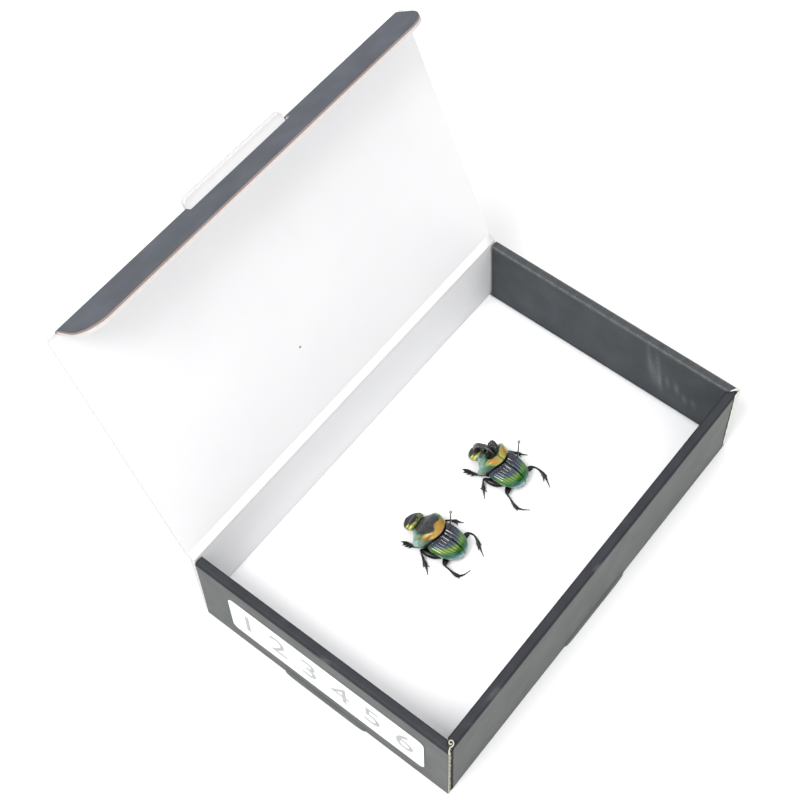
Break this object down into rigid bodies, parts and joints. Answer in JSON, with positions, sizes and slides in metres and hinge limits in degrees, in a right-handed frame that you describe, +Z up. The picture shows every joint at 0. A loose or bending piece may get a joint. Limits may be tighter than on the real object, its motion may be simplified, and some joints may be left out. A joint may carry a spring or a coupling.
{
  "type": "pinned beetle pair in box",
  "caption": "Pair of pinned metallic dung beetles on white foam in a small hinged cardboard specimen box, with its lid standing open and a tuck flap on the lid's edge.",
  "frame": {"origin": "middle of the underside of the box's base", "axes": "+Z up; X along the box's long side, with the labelled end wall at -X; the lid's hinge along the back wall at +Y and the front wall at -Y"},
  "size_m": [0.1512, 0.1356, 0.1299],
  "materials": {
    "tray_board": "matt black-grey printed corrugated board, white inside the back wall",
    "lid_board": "white lined corrugated board, black-grey outside",
    "flap_board": "matt black-grey corrugated board with a raw brown edge",
    "foam": "smooth white closed-cell foam sheet",
    "label_paper": "smooth white sticker",
    "pin_steel": "thin polished steel",
    "elytra_cuticle": "ribbed glossy cuticle, blue-black in front and metallic green behind",
    "pronotum_cuticle": "glossy cuticle, black in the middle with copper-orange and pale green sides",
    "head_cuticle": "semi-gloss black cuticle with gold-green rims",
    "black_cuticle": "semi-gloss black cuticle"
  },
  "bodies": {
    "tray_body": {"tray": "tray_board", "foam_sheet": "foam", "label": "label_paper", "female_head": "head_cuticle", "female_pronotum": "pronotum_cuticle", "female_left_elytron": "elytra_cuticle", "female_right_elytron": "elytra_cuticle", "female_body": "black_cuticle", "female_front_left_leg": "black_cuticle", "female_front_right_leg": "black_cuticle", "female_middle_left_leg": "black_cuticle", "female_middle_right_leg": "black_cuticle", "female_hind_left_leg": "black_cuticle", "female_hind_right_leg": "black_cuticle", "female_pin": "pin_steel", "male_head": "head_cuticle", "male_pronotum": "pronotum_cuticle", "male_left_elytron": "elytra_cuticle", "male_right_elytron": "elytra_cuticle", "male_body": "black_cuticle", "male_front_left_leg": "black_cuticle", "male_front_right_leg": "black_cuticle", "male_middle_left_leg": "black_cuticle", "male_middle_right_leg": "black_cuticle", "male_hind_left_leg": "black_cuticle", "male_hind_right_leg": "black_cuticle", "male_pin": "pin_steel"},
    "lid_body": {"lid": "lid_board"},
    "flap_body": {"tuck_flap": "flap_board"}
  },
  "joints": [
    {"name": "lid_hinge", "type": "hinge", "parent": "tray_body", "child": "lid_body", "pos_m": [0, 0.049, 0.0358], "axis": [-1, 0, 0], "range_deg": [-112.8, 67.2]},
    {"name": "flap_fold", "type": "hinge", "parent": "lid_body", "child": "flap_body", "pos_m": [0, 0.08395, 0.11895], "axis": [-1, 0, 0], "range_deg": [-16.1, 9.6]}
  ],
  "couplings": [
    {"joint": "flap_fold", "follows": "lid_hinge", "ratio": 0.142}
  ]
}
